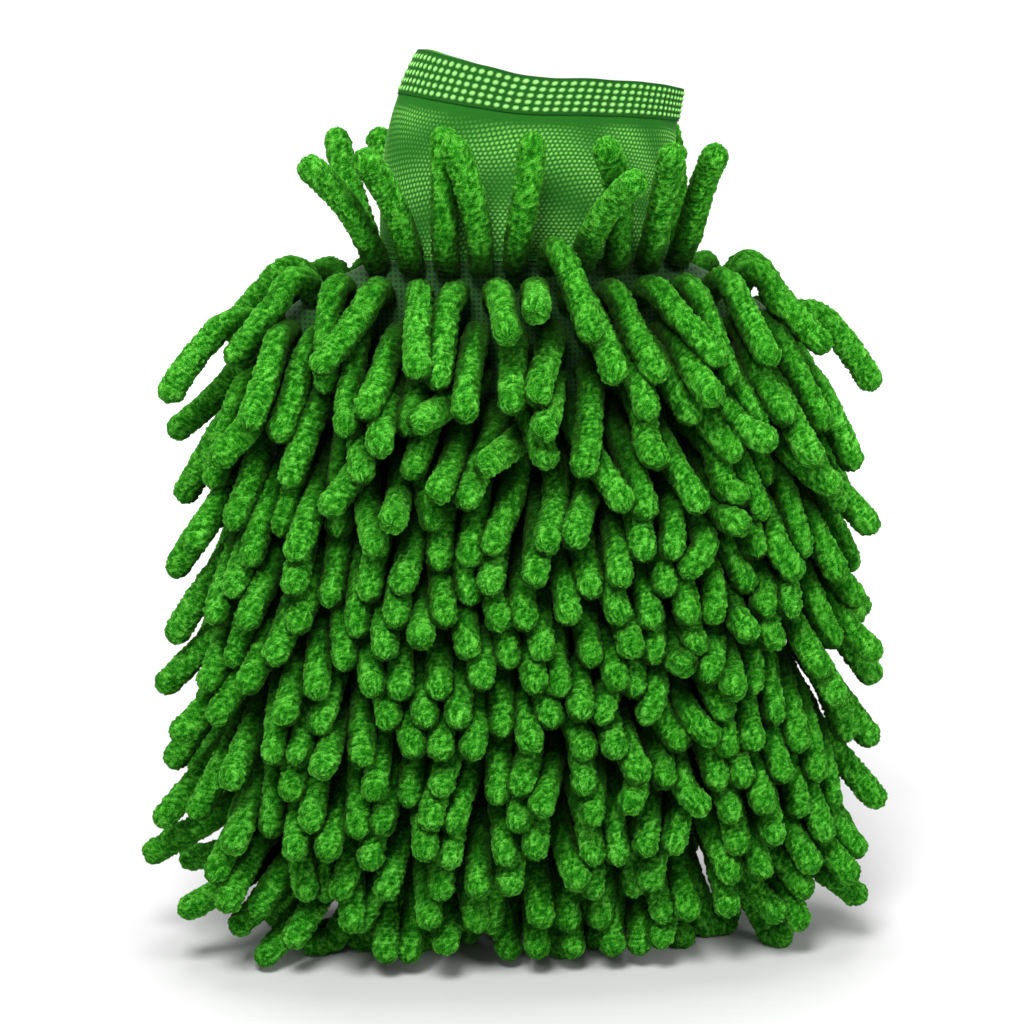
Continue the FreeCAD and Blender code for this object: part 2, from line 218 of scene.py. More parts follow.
def separate_solids(name):
    """The vertices of each separate solid of a CAD node."""
    work = bmesh.new()
    work.from_mesh(frame["nodes"][name].data)
    bmesh.ops.remove_doubles(work, verts=work.verts, dist=1e-6)
    seen = set()
    solids = []
    for first in work.verts:
        if first.index in seen:
            continue
        seen.add(first.index)
        stack = [first]
        found = []
        while stack:
            vert = stack.pop()
            found.append(vert.co[:])
            for edge in vert.link_edges:
                other = edge.other_vert(vert)
                if other.index not in seen:
                    seen.add(other.index)
                    stack.append(other)
        solids.append(np.array(found))
    work.free()
    return solids


def point_tree(points):
    """A search tree over points."""
    tree = KDTree(len(points))
    for i, point in enumerate(points):
        tree.insert(point, i)
    tree.balance()
    return tree


def new_object(name, verts, faces, material, attributes=None):
    """A smooth mesh of faces with equal numbers of corners. Attributes hold one value a vertex."""
    mesh = bpy.data.meshes.new(name)
    verts = np.asarray(verts, np.float32)
    faces = np.asarray(faces, np.int32)
    mesh.vertices.add(len(verts))
    mesh.vertices.foreach_set("co", verts.ravel())
    width = faces.shape[1]
    mesh.loops.add(faces.size)
    mesh.loops.foreach_set("vertex_index", faces.ravel())
    mesh.polygons.add(len(faces))
    mesh.polygons.foreach_set("loop_start", np.arange(0, faces.size, width, dtype=np.int32))
    mesh.update(calc_edges=True)
    mesh.validate()
    mesh.shade_smooth()
    for key, values in (attributes or {}).items():
        layer = mesh.attributes.new(key, "FLOAT", "POINT")
        layer.data.foreach_set("value", np.asarray(values, np.float32))
    mesh.materials.append(material)
    obj = bpy.data.objects.new(name, mesh)
    scene.collection.objects.link(obj)
    return obj


# ---------------------------------------------------------------- materials

class Nodes:
    """A small helper to build one material's node tree."""

    def __init__(self, name):
        self.material = bpy.data.materials.new(name)
        self.material.use_nodes = True
        self.tree = self.material.node_tree
        self.shader = self.tree.nodes["Principled BSDF"]

    def add(self, kind, **settings):
        node = self.tree.nodes.new(kind)
        for key, value in settings.items():
            if key in node.inputs.keys():
                node.inputs[key].default_value = value
            else:
                setattr(node, key, value)
        return node

    def link(self, source, target):
        self.tree.links.new(source, target)

    def set(self, **values):
        for key, value in values.items():
            self.shader.inputs[key.replace("_", " ")].default_value = value

    def ramp(self, source, stops):
        node = self.tree.nodes.new("ShaderNodeValToRGB")
        elements = node.color_ramp.elements
        elements[0].position, elements[0].color = stops[0][0], (*stops[0][1], 1)
        elements[1].position, elements[1].color = stops[-1][0], (*stops[-1][1], 1)
        for position, colour in stops[1:-1]:
            element = elements.new(position)
            element.color = (*colour, 1)
        self.link(source, node.inputs["Fac"])
        return node.outputs["Color"]

    def attribute(self, name):
        return self.add("ShaderNodeAttribute", attribute_name=name).outputs["Fac"]

    def math(self, operation, a, b):
        node = self.add("ShaderNodeMath", operation=operation)
        for socket, value in zip(node.inputs, (a, b)):
            if isinstance(value, (int, float)):
                socket.default_value = value
            else:
                self.link(value, socket)
        return node.outputs[0]

    def mix(self, factor, a, b, blend="MIX"):
        node = self.add("ShaderNodeMix", data_type="RGBA", blend_type=blend)
        for socket, value in zip((node.inputs[0], node.inputs[6], node.inputs[7]), (factor, a, b)):
            if isinstance(value, (int, float, tuple)):
                socket.default_value = value
            else:
                self.link(value, socket)
        return node.outputs[2]

    def bump(self, height, strength, distance, below=None):
        node = self.add("ShaderNodeBump", Strength=strength, Distance=distance)
        self.link(height, node.inputs["Height"])
        if below is not None:
            self.link(below, node.inputs["Normal"])
        self.link(node.outputs["Normal"], self.shader.inputs["Normal"])
        return node.outputs["Normal"]

    def noise(self, scale, detail=2.0):
        place = self.add("ShaderNodeTexCoord")
        node = self.add("ShaderNodeTexNoise", Scale=scale, Detail=detail)
        self.link(place.outputs["Object"], node.inputs["Vector"])
        return node.outputs["Fac"]


def chenille_material():
    """Bright pile: deep green between the tufts, light where they stand up, with fibres as a fine bump. The
    colour is partly the pile's own random tone and partly painted shade in the valleys between the tufts;
    painted shade also darkens each strand towards its root and where other noodles cover it.
    """
    m = Nodes("chenille")
    fibres = m.noise(3200.0, 2.0)
    tufts = m.math("MULTIPLY", m.attribute("tuft"), 0.45)
    share = m.math("ADD", tufts, m.math("MULTIPLY", fibres, 0.75))
    # Pile colour from tuft height and fibre noise: partly random tone, partly painted shade darkening the
    # valleys between the tufts
    pile = m.ramp(share, [
        (0.34, (0.0006, 0.028, 0.0004)),
        (0.48, (0.004, 0.088, 0.0015)),
        (0.62, (0.022, 0.205, 0.008)),
        (0.86, (0.150, 0.560, 0.062)),
    ])
    # Painted shade: the strand darkens towards its root, deep in the pile
    depth = m.ramp(m.attribute("along"), [
        (0.0, (0.20, 0.26, 0.18)),
        (0.25, (0.70, 0.76, 0.66)),
        (0.55, (1.0, 1.0, 1.0)),
    ])
    # Painted shade: darker where other noodles cover the strand, from the 'open' attribute
    painted_under_shade = m.ramp(m.attribute("open"), [
        (0.12, (0.002, 0.005, 0.002)),
        (0.40, (0.03, 0.07, 0.03)),
        (0.66, (0.22, 0.36, 0.18)),
        (0.90, (1.0, 1.0, 1.0)),
    ])
    # Pile colour times the painted shade towards the root and among other noodles
    pile_with_painted_shade = m.mix(1.0, m.mix(1.0, pile, depth, "MULTIPLY"), painted_under_shade, "MULTIPLY")
    strand = m.ramp(m.attribute("strand"), [(0.0, (0.78, 0.86, 0.70)), (1.0, (1.0, 1.0, 1.0))])
    m.link(m.mix(1.0, pile_with_painted_shade, strand, "MULTIPLY"), m.shader.inputs["Base Color"])
    m.bump(fibres, 0.9, 0.0006)
    m.set(Roughness=0.95, Sheen_Weight=0.08, Sheen_Roughness=0.5, Specular_IOR_Level=0.05)
    m.shader.inputs["Sheen Tint"].default_value = (0.35, 1.0, 0.12, 1)
    return m.material


def knit_material(name, dark, light, sheen=0.25):
    """Knitted cloth whose raised loops are paler than the ground between them."""
    m = Nodes(name)
    loop = m.attribute("loop")
    fibres = m.noise(3500.0, 2.0)
    share = m.math("ADD", m.math("MULTIPLY", loop, 0.8), m.math("MULTIPLY", fibres, 0.25))
    m.link(m.ramp(share, [(0.15, dark), (0.85, light)]), m.shader.inputs["Base Color"])
    m.bump(fibres, 0.5, 0.0002)
    m.set(Roughness=0.85, Sheen_Weight=sheen, Sheen_Roughness=0.4, Specular_IOR_Level=0.2)
    m.shader.inputs["Sheen Tint"].default_value = (0.5, 1.0, 0.3, 1)
    return m.material


def woven_material(name, dark, light, threads_per_metre=1400.0):
    """Plain weave: two crossing wave patterns."""
    m = Nodes(name)
    place = m.add("ShaderNodeTexCoord")
    waves = []
    for direction in ("X", "Z"):
        wave = m.add("ShaderNodeTexWave", wave_type="BANDS", bands_direction=direction,
                     Scale=threads_per_metre / THREADS_PER_WAVE_SCALE)
        m.link(place.outputs["Object"], wave.inputs["Vector"])
        waves.append(wave.outputs["Fac"])
    weave = m.math("MAXIMUM", *waves)
    share = m.math("ADD", m.math("MULTIPLY", weave, 0.7), m.math("MULTIPLY", m.noise(900.0), 0.3))
    m.link(m.ramp(share, [(0.25, dark), (0.9, light)]), m.shader.inputs["Base Color"])
    m.bump(weave, 0.6, 0.0003)
    m.set(Roughness=0.8, Sheen_Weight=0.2, Specular_IOR_Level=0.2)
    return m.material


# ---------------------------------------------------------------- noodle simulation

ROW_NODES = sorted(name for name in frame["nodes"]
                   if name.startswith(("front_row_", "back_row_")) and "thread" not in name)
EDGE_NODES = ["left_edge_noodles", "right_edge_noodles", "bottom_noodles"]
FRINGE_NODES = ["front_neck_fringe", "back_neck_fringe"]
FOOT_NODES = ["bottom_noodles", "front_row_01", "back_row_01", "front_row_02", "back_row_02"]
BAG_NODES = ["front_backing", "back_backing", "seam_tape"]
CUFF_NODES = ["cuff_flex", "cuff_sleeve", "cuff_hem"]


def noodle_seeds():
    """(node, root on the cloth, direction) for every noodle, read from the CAD's solids."""
    cloth = world_bvh(BAG_NODES + CUFF_NODES)
    seeds = []
    for name in ROW_NODES + EDGE_NODES + FRINGE_NODES:
        for points in separate_solids(name):
            middle = points.mean(axis=0)
            axis = principal_axis(points - middle)
            reach = (points - middle) @ axis
            ends = [middle + axis * reach.min(), middle + axis * reach.max()]
            gaps = [cloth.find_nearest(Vector(end))[3] for end in ends]
            if name == "bottom_noodles":
                gaps = [-ends[0][2], -ends[1][2]]
            root = ends[int(gaps[1] < gaps[0])]
            tip = ends[1 - int(gaps[1] < gaps[0])]
            direction = (tip - root) / np.linalg.norm(tip - root)
            seeds.append((name, root - direction * ROOT_BURIED, direction))
    return seeds


def principal_axis(offsets):
    """The direction along which offsets reach furthest."""
    if len(offsets) < MANY_POINTS:
        return np.linalg.svd(offsets)[2][0]
    return np.linalg.eigh(offsets.T @ offsets)[1][:, 2]


def combed(name, root, direction):
    """The way a noodle wants to point: the CAD's, swept outwards and down, with some scatter."""
    want = direction + rng.normal(0.0, DIRECTION_SCATTER, 3)
    reach = np.clip(root[0] / COMB_HALF_WIDTH, -1, 1)
    if name in ROW_NODES:
        top = TOP_ROWS_DROOP.get(name.split("_", 1)[1], 0.0)
        if top:
            want[0] += TOP_ROWS_FAN * math.tanh(FAN_STEEPNESS * reach) + rng.normal(0.0, TOP_ROWS_SCATTER)
        else:
            want[0] += SIDEWAYS_COMB * reach * (1 - COMB_EASED_AT_EDGE * abs(reach))
        want[2] -= EDGE_DROOP * abs(reach)
        if top:
            want[2] -= top + SHOULDER_DROOP * reach**2 + rng.normal(0.0, TOP_ROWS_SPREAD)
    if name in EDGE_NODES:
        want[2] -= EDGE_DROOP + SHOULDER_DROOP * (root[2] > SHOULDER_HEIGHT)
    if name in FRINGE_NODES:
        want[2] += -FRINGE_DROOP if rng.random() < FRINGE_DROOPING_SHARE else FRINGE_STAND
    if name in FOOT_NODES or root[2] < FOOT_HEIGHT:
        want[1] += math.copysign(FOOT_STEP_OUT, root[1])
        want[0] += FOOT_SPLAY * reach * abs(reach)
    return want / np.linalg.norm(want)


def keeps_its_arc(name, root):
    """Whether a noodle is one of the outermost, which fall over in an arc and don't straighten again."""
    top = name in FRINGE_NODES or name.split("_", 1)[1] in TOP_ROWS_DROOP or root[2] > SHOULDER_HEIGHT
    corner = root[2] < FOOT_HEIGHT and abs(root[0]) > CORNER_FROM
    return bool(top or corner)


class Profile:
    """The bag's and cuff's cross-sections up the mitt, as ellipses measured off the CAD with rays."""

    def __init__(self):
        tree = world_bvh(BAG_NODES + CUFF_NODES)
        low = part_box("front_backing")[0][2]
        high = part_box("cuff_hem")[1][2]
        self.z = np.linspace(low + 0.0003, high - 0.006, PROFILE_SECTIONS)
        rows = []
        last = None
        for z in self.z:
            hits = []
            for side in (-1, 1):
                hit = tree.ray_cast(Vector((side, 0.0, z)), Vector((-side, 0, 0)))[0]
                hits.append(hit.x if hit else None)
            middle = 0.0 if None in hits else (hits[0] + hits[1]) / 2
            for side in (-1, 1):
                hit = tree.ray_cast(Vector((middle, side, z)), Vector((0, -side, 0)))[0]
                hits.append(hit.y if hit else None)
            if None in hits:
                rows.append(last)
                continue
            last = (middle, (hits[1] - hits[0]) / 2, (hits[2] + hits[3]) / 2, (hits[3] - hits[2]) / 2)
            rows.append(last)
        self.rows = np.array(rows)

    def at(self, z):
        """Centre and half width in X, then centre and half depth in Y, at the heights z."""
        return [np.interp(z, self.z, self.rows[:, i]) for i in range(4)]

    def push_out(self, points, clearance):
        """Moves points that are inside the ellipse grown by clearance out to it."""
        z = points[:, 2]
        below = np.clip((self.z[0] - z) / clearance, 0, 1)
        grown = clearance * np.sqrt(1 - below**2)
        centre_x, half_x, centre_y, half_y = self.at(z)
        shrink = np.where(below > 0, np.sqrt(1 - below**2), 1.0)
        a = half_x * shrink + grown + 1e-6
        b = half_y * shrink + grown + 1e-6
        dx = points[:, 0] - centre_x
        dy = points[:, 1] - centre_y
        share = np.sqrt((dx / a) ** 2 + (dy / b) ** 2) + 1e-9
        inside = (share < 1) & (below < 1) & (z < self.z[-1] + clearance)
        gx = dx / a**2
        gy = dy / b**2
        size = np.sqrt(gx**2 + gy**2) + 1e-9
        depth = (1 - share) * share / size
        depth = np.minimum(depth, PUSH_LIMIT)
        points[:, 0] += np.where(inside, gx / size * depth, 0)
        points[:, 1] += np.where(inside, gy / size * depth, 0)


def touching_pairs(points, strand, reach):
    """Index pairs of rod points of different noodles that are near each other."""
    tree = point_tree(points)
    first = []
    second = []
    for i, p in enumerate(points):
        for _, j, _ in tree.find_range(p, reach):
            if j > i and strand[j] != strand[i]:
                first.append(i)
                second.append(j)
    return np.array(first), np.array(second)


def settle(seeds):
    """Rod points (noodle, point, xyz) after the noodles have fallen and come to rest on each other."""
    count = len(seeds)
    spacing = (NOODLE_LENGTH - NOODLE_RADIUS) / (ROD_POINTS - 1)
    want = np.array([combed(*seed) for seed in seeds])
    rods = np.zeros((count, ROD_POINTS, 3))
    rods[:, 0] = [seed[1] for seed in seeds]
    first = np.array([seed[2] for seed in seeds])
    arched = np.array([keeps_its_arc(*seed[:2]) for seed in seeds])
    turn_over = np.where(arched, ARCHED_TURN_SEGMENTS, TURN_SEGMENTS)[:, None]
    for k in range(1, ROD_POINTS):
        turn = np.minimum(1.0, (k - 1) / turn_over)
        step = first * (1 - turn) + want * turn
        rods[:, k] = rods[:, k - 1] + spacing * step / np.linalg.norm(step, axis=1, keepdims=True)
    rods[:, :, 2] = np.maximum(rods[:, :, 2], NOODLE_RADIUS)
    sewn_bend = np.zeros_like(rods)
    sewn_bend[arched, 2:] = (rods[:, 2:] - 2 * rods[:, 1:-1] + rods[:, :-2])[arched]
    curl = rng.normal(0.0, CURL, (count, 3))
    pull = np.linspace(PULL_AT_ROOT, 1.0, ROD_POINTS)[None, :, None]
    before = rods.copy()
    profile = Profile()
    strand = np.repeat(np.arange(count), ROD_POINTS)
    anchors = rods[:, :2].copy()
    fall = np.array([0, 0, -GRAVITY * STEP_SECONDS**2])
    for step in range(SETTLE_STEPS):
        if step % PAIRS_EVERY_STEPS == 0:
            flat = rods.reshape(-1, 3)
            a, b = touching_pairs(flat, strand, TOUCH_DISTANCE + PAIRS_MARGIN)
        velocity = (rods - before) * VELOCITY_KEPT
        velocity = np.clip(velocity, -LONGEST_STEP, LONGEST_STEP)
        before = rods.copy()
        rods = rods + velocity + fall * pull
        for _ in range(SOLVER_ROUNDS):
            for k in range(2, ROD_POINTS):
                along = rods[:, k - 1] - rods[:, k - 2]
                aim = rods[:, k - 1] + along + sewn_bend[:, k] + np.cross(along, curl) * spacing
                rods[:, k] += BEND_HOLD * (aim - rods[:, k])
            for k in range(2, ROD_POINTS):
                gap = rods[:, k] - rods[:, k - 1]
                size = np.linalg.norm(gap, axis=1, keepdims=True) + 1e-9
                rods[:, k] = rods[:, k - 1] + gap * spacing / size
            flat = rods.reshape(-1, 3)
            gap = flat[a] - flat[b]
            size = np.linalg.norm(gap, axis=1) + 1e-9
            overlap = np.maximum(TOUCH_DISTANCE - size, 0) / size * 0.5
            hit = overlap > 0
            push = gap[hit] * overlap[hit][:, None]
            shift = np.zeros_like(flat)
            ah, bh = a[hit], b[hit]
            for axis in range(3):
                shift[:, axis] += np.bincount(ah, push[:, axis], len(flat))
                shift[:, axis] -= np.bincount(bh, push[:, axis], len(flat))
            touches = np.bincount(ah, minlength=len(flat)) + np.bincount(bh, minlength=len(flat))
            flat += shift / np.maximum(touches * 0.5, 1)[:, None]
            profile.push_out(flat, CLOTH_CLEARANCE)
            flat[:, 2] = np.maximum(flat[:, 2], FLOOR_CLEARANCE)
            rods = flat.reshape(rods.shape)
            rods[:, :2] = anchors
    return rods


# ---------------------------------------------------------------- noodle skin

def smooth_line(points, count):
    """A rod's points as count evenly spaced points on a Catmull-Rom curve, for all rods at once."""
    before = 2 * points[:, :1] - points[:, 1:2]
    after = 2 * points[:, -1:] - points[:, -2:-1]
    padded = np.concatenate([before, points, after], 1)
    t = np.linspace(0, points.shape[1] - 1, count)
    i = np.minimum(t.astype(int), points.shape[1] - 2)
    u = (t - i)[None, :, None]
    p0, p1, p2, p3 = (padded[:, i + k] for k in range(4))
    square = 2 * p0 - 5 * p1 + 4 * p2 - p3
    cube = 3 * p1 - p0 - 3 * p2 + p3
    return 0.5 * (2 * p1 + (p2 - p0) * u + square * u**2 + cube * u**3)


def carried_frames(lines):
    """Tangents and two normals along each line, carried without twist."""
    tangent = np.gradient(lines, axis=1)
    tangent /= np.linalg.norm(tangent, axis=2, keepdims=True)
    side = np.zeros_like(tangent)
    start = np.cross(tangent[:, 0], [0.3, 0.9, 0.1])
    side[:, 0] = start / np.linalg.norm(start, axis=1, keepdims=True)
    for k in range(1, lines.shape[1]):
        s = side[:, k - 1] - tangent[:, k] * np.sum(side[:, k - 1] * tangent[:, k], axis=1, keepdims=True)
        side[:, k] = s / np.linalg.norm(s, axis=1, keepdims=True)
    return tangent, side, np.cross(tangent, side)


def pile_grain(shape):
    """Seeded noise from 0 to 1 over every strand's skin, in grains about a millimetre across."""
    grain = rng.random(shape)
    grain = (np.roll(grain, 1, 1) + 3 * grain + np.roll(grain, -1, 1)) / 5
    return np.clip(0.5 + (grain - grain.mean()) / grain.std() * GRAIN_CONTRAST, 0, 1)


def hash_noise(*values):
    """A repeatable value from 0 to 1 for whole-number arrays."""
    mixed = sum(np.asarray(v, float) * k for v, k in zip(values, (12.9898, 78.233, 37.719, 9.151)))
    return np.mod(np.sin(mixed) * 43758.5453, 1.0)


def painted_pile_shade(lines):
    """Painted shade over each strand's skin, from how open the pile is there: near 0 deep among other
    noodles, 1 in the open.
    """
    count, rings, _ = lines.shape
    _, side, other = carried_frames(lines)
    stations = np.linspace(0, rings - 1, SHADE_STATIONS).astype(int)
    theta = np.linspace(0, 2 * math.pi, SHADE_DIRECTIONS, endpoint=False)[:, None]
    others = lines[:, ::SHADE_SPACING].reshape(-1, 3)
    owner = np.repeat(np.arange(count), len(range(0, rings, SHADE_SPACING)))
    tree = point_tree(others)
    open_at = np.ones((count, SHADE_STATIONS, SHADE_DIRECTIONS))
    for n in range(count):
        for k, ring in enumerate(stations):
            near = [j for _, j, _ in tree.find_range(lines[n, ring], SHADE_REACH) if owner[j] != n]
            if not near:
                continue
            normal = side[n, ring] * np.cos(theta) + other[n, ring] * np.sin(theta)
            gap = others[near][None] - (lines[n, ring] + normal * NOODLE_RADIUS)[:, None]
            size = np.linalg.norm(gap, axis=2) + 1e-6
            facing = np.maximum((gap * normal[:, None]).sum(2) / size, 0)
            hidden = (facing * NOODLE_RADIUS**2 / (size**2 + NOODLE_RADIUS**2)).sum(1)
            open_at[n, k] = np.exp(-SHADE_DEPTH * hidden)
    skin = np.empty((count, rings, SHADE_DIRECTIONS))
    for ring in range(rings):
        k = min(int(np.searchsorted(stations, ring, "right")) - 1, SHADE_STATIONS - 2)
        share = (ring - stations[k]) / (stations[k + 1] - stations[k])
        skin[:, ring] = open_at[:, k] * (1 - share) + open_at[:, k + 1] * share
    place = np.arange(RING_POINTS) * SHADE_DIRECTIONS / RING_POINTS
    low = place.astype(int)
    share = place - low
    return skin[..., low] * (1 - share) + skin[..., (low + 1) % SHADE_DIRECTIONS] * share


def skin_noodles(lines, ids, painted_shade_skin):
    """Closed chenille strands round lines: (vertices, faces, attributes)."""
    count, rings, _ = lines.shape
    tangent, side, other = carried_frames(lines)
    length = NOODLE_LENGTH - NOODLE_RADIUS
    cap = max(3, int(round(CAP_SHARE * rings)))
    # the last rings close a round end that goes one radius past the line's end
    angle = np.concatenate([np.zeros(rings - cap), np.linspace(0, math.pi / 2, cap + 1)[1:]])
    body_end = rings - cap
    end_point = lines[:, -1:]
    end_tangent = tangent[:, -1:]
    spread = np.linspace(0, 1, body_end)
    t = spread * (rings - 1)
    i = np.minimum(t.astype(int), rings - 2)
    u = (t - i)[None, :, None]
    new_lines = lines[:, i] * (1 - u) + lines[:, i + 1] * u
    new_tangent, new_side, new_other = (v[:, i] for v in (tangent, side, other))
    rise = np.sin(angle[body_end:])[None, :, None] * NOODLE_RADIUS
    lines = np.concatenate([new_lines, end_point + end_tangent * rise], 1)
    tangent = np.concatenate([new_tangent, np.repeat(end_tangent, cap, 1)], 1)
    side = np.concatenate([new_side, np.repeat(side[:, -1:], cap, 1)], 1)
    other = np.concatenate([new_other, np.repeat(other[:, -1:], cap, 1)], 1)
    arc = np.concatenate([spread * length, length + angle[body_end:] * NOODLE_RADIUS])
    theta = np.linspace(0, 2 * math.pi, RING_POINTS, endpoint=False)
    ids = np.asarray(ids)[:, None, None]
    phase = hash_noise(ids, 3) * 6.28
    round_it = theta[None, None, :]
    wobble = 0.35 * np.sin(2 * round_it + phase) + 0.25 * np.sin(3 * round_it + 2 * phase)
    turns = arc[None, :, None] / RIDGE_PITCH + wobble + hash_noise(ids, 5)
    wave = 0.5 - 0.5 * np.cos(2 * math.pi * turns)
    grain = pile_grain((count, rings, RING_POINTS))
    tuft = np.clip(GRAIN_SHARE * grain + RIDGE_SHARE * wave, 0, 1)
    thick = 1.0 - ROOT_THINNING * np.exp(-arc / ROOT_THINNING_REACH)[None, :, None]
    swell = SWELL * np.sin(arc[None, :, None] / SWELL_LENGTH + phase)
    radius = NOODLE_RADIUS * np.cos(angle)[None, :, None] * (thick + swell)
    bump = PILE_HEIGHT * (tuft - 0.5)
    cos, sin = np.cos(theta)[None, None, :, None], np.sin(theta)[None, None, :, None]
    flat_normal = side[:, :, None] * cos + other[:, :, None] * sin
    cos, sin = np.cos(angle)[None, :, None, None], np.sin(angle)[None, :, None, None]
    out = flat_normal * cos + tangent[:, :, None] * sin
    verts = lines[:, :, None] + flat_normal * radius[..., None] + out * bump[..., None]
    along = np.broadcast_to((arc / arc[-1])[None, :, None], tuft.shape)
    strand = np.broadcast_to(hash_noise(ids, 11), tuft.shape)
    painted_shade_skin = np.concatenate([painted_shade_skin[:, i], np.repeat(painted_shade_skin[:, -1:], cap, 1)], 1)
    per = rings * RING_POINTS
    grid = np.arange(per).reshape(rings, RING_POINTS)
    right = np.roll(grid, -1, axis=1)
    quads = np.stack([grid[:-1], right[:-1], right[1:], grid[1:]], -1).reshape(-1, 4)
    # close the root with a fan of quads across the ring
    ring = grid[0]
    half = RING_POINTS // 2
    root = [[ring[k], ring[k + 1], ring[-2 - k], ring[-1 - k]] for k in range(half - 1)]
    quads = np.concatenate([quads, np.array(root)[:, ::-1]])
    faces = (quads[None] + (np.arange(count) * per)[:, None, None]).reshape(-1, 4)
    # 'tuft' also sets painted shade between the tufts, 'along' painted shade towards the root, 'open'
    # painted shade among other noodles
    attributes = {"tuft": tuft.ravel(), "along": along.ravel(), "strand": strand.ravel(),
                  "open": painted_shade_skin.ravel()}
    return verts.reshape(-1, 3), faces, attributes


def build_noodles(material):
    """Settles and skins every noodle, one object per CAD node, and returns where they are sewn."""
    seeds = noodle_seeds()
    rods = settle(seeds)
    lines = smooth_line(rods, RINGS)
    # Painted shade of each strand's skin, where other noodles cover it
    painted_shade_skin = painted_pile_shade(lines)
    for name in ROW_NODES + EDGE_NODES + FRINGE_NODES:
        chosen = [i for i, seed in enumerate(seeds) if seed[0] == name]
        verts, faces, attributes = skin_noodles(lines[chosen], chosen, painted_shade_skin[chosen])
        piece = new_object(name + "_chenille", verts, faces, material, attributes)
        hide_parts(name)
        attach(piece, "cuff" if name in frame["record"]["behaviour"]["bodies"]["cuff"] else "bag")
    return seeds


# ---------------------------------------------------------------- bag

def panel_surface(profile, turn, height, side, inset):
    """Points of one face of the bag, turned from the +X seam, moved in by inset."""
    centre_x, half_x, centre_y, half_y = profile.at(height)
    x = centre_x + (half_x - inset) * np.cos(turn)
    y = centre_y + side * np.maximum((half_y - inset) * np.sin(turn), SEAM_GAP)
    return np.stack([x, y, height], -1)


def build_panel(name, profile, side, low, high, insets, roots, material):
    """A closed sheet of cloth over one face of the bag, puckered where each noodle is sewn through it."""
    turns, heights = np.meshgrid(np.linspace(0, math.pi, PANEL_COLUMNS), np.linspace(low, high, PANEL_ROWS))
    outer = panel_surface(profile, turns, heights, side, insets[0])
    inner = panel_surface(profile, turns, heights, side, insets[1])
    tree = point_tree(roots)
    gaps = np.array([tree.find(p)[2] for p in outer.reshape(-1, 3)]).reshape(turns.shape)
    pucker = PUCKER_DEPTH * np.exp(-((gaps / PUCKER_REACH) ** 2))
    wave = 0.00025 * np.sin(heights * 700 + 3 * np.sin(turns * 6)) * np.sin(turns)
    centre = np.stack([0 * turns, 0 * turns, heights], -1)
    inward = centre - outer
    inward /= np.linalg.norm(inward, axis=-1, keepdims=True)
    shift = inward * ((pucker + wave) * np.sin(turns) ** 0.5)[..., None]
    outer = outer + shift
    inner = inner + shift * 0.8
    rows = np.concatenate([outer, inner[::-1]])
    count, across = rows.shape[:2]
    grid = np.arange(count * across).reshape(count, across)
    below = np.roll(grid, -1, 0)
    faces = np.stack([grid[:, :-1], grid[:, 1:], below[:, 1:], below[:, :-1]], -1).reshape(-1, 4)
    front = grid[: PANEL_ROWS]
    behind = grid[PANEL_ROWS:][::-1]
    for column in (0, -1):
        a, b = front[:, column], behind[:, column]
        strip = np.stack([a[:-1], b[:-1], b[1:], a[1:]], -1)
        faces = np.concatenate([faces, strip if column == 0 else strip[:, ::-1]])
    if side > 0:
        faces = faces[:, ::-1]
    loose = np.clip(pucker / PUCKER_DEPTH, 0, 1).ravel()
    attributes = {"loop": np.concatenate([loose, loose * 0])}
    return new_object(name, rows.reshape(-1, 3), faces, material, attributes)


def build_bag(seeds):
    """Backing and lining of both faces, and the materials of the seams that stay CAD solids."""
    profile = Profile()
    backing = woven_material("backing", (0.001, 0.012, 0.001), (0.006, 0.060, 0.003))
    lining = knit_material("lining", (0.020, 0.160, 0.010), (0.10, 0.42, 0.05))
    low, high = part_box("front_backing")[0][2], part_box("front_backing")[1][2]
    for word, side in (("front", -1), ("back", 1)):
        roots = [root + direction * ROOT_BURIED for name, root, direction in seeds
                 if name in ROW_NODES and side * root[1] > 0]
        outer = build_panel(f"{word}_backing_cloth", profile, side, low + BACKING_FOOT_GAP, high - NECK_GAP,
                            BACKING_INSETS, roots, backing)
        inner = build_panel(f"{word}_lining_cloth", profile, side, low + LINING_FOOT_GAP, high - NECK_GAP,
                            LINING_INSETS, roots, lining)
        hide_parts(f"{word}_backing")
        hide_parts(f"{word}_lining")
        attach(outer, "bag")
        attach(inner, "bag")
    tape = woven_material("tape", (0.006, 0.080, 0.003), (0.035, 0.260, 0.015), 1800.0)
    thread = woven_material("thread", (0.020, 0.200, 0.008), (0.10, 0.50, 0.04), 4000.0)
    finishes = {"seam_tape": tape, "neck_seam_tape": tape, "seam_stitches": thread,
                "front_row_threads": thread, "back_row_threads": thread, "cuff_side_seam": lining}
    for name, material in finishes.items():
        for slot in frame["nodes"][name].material_slots:
            slot.material = material


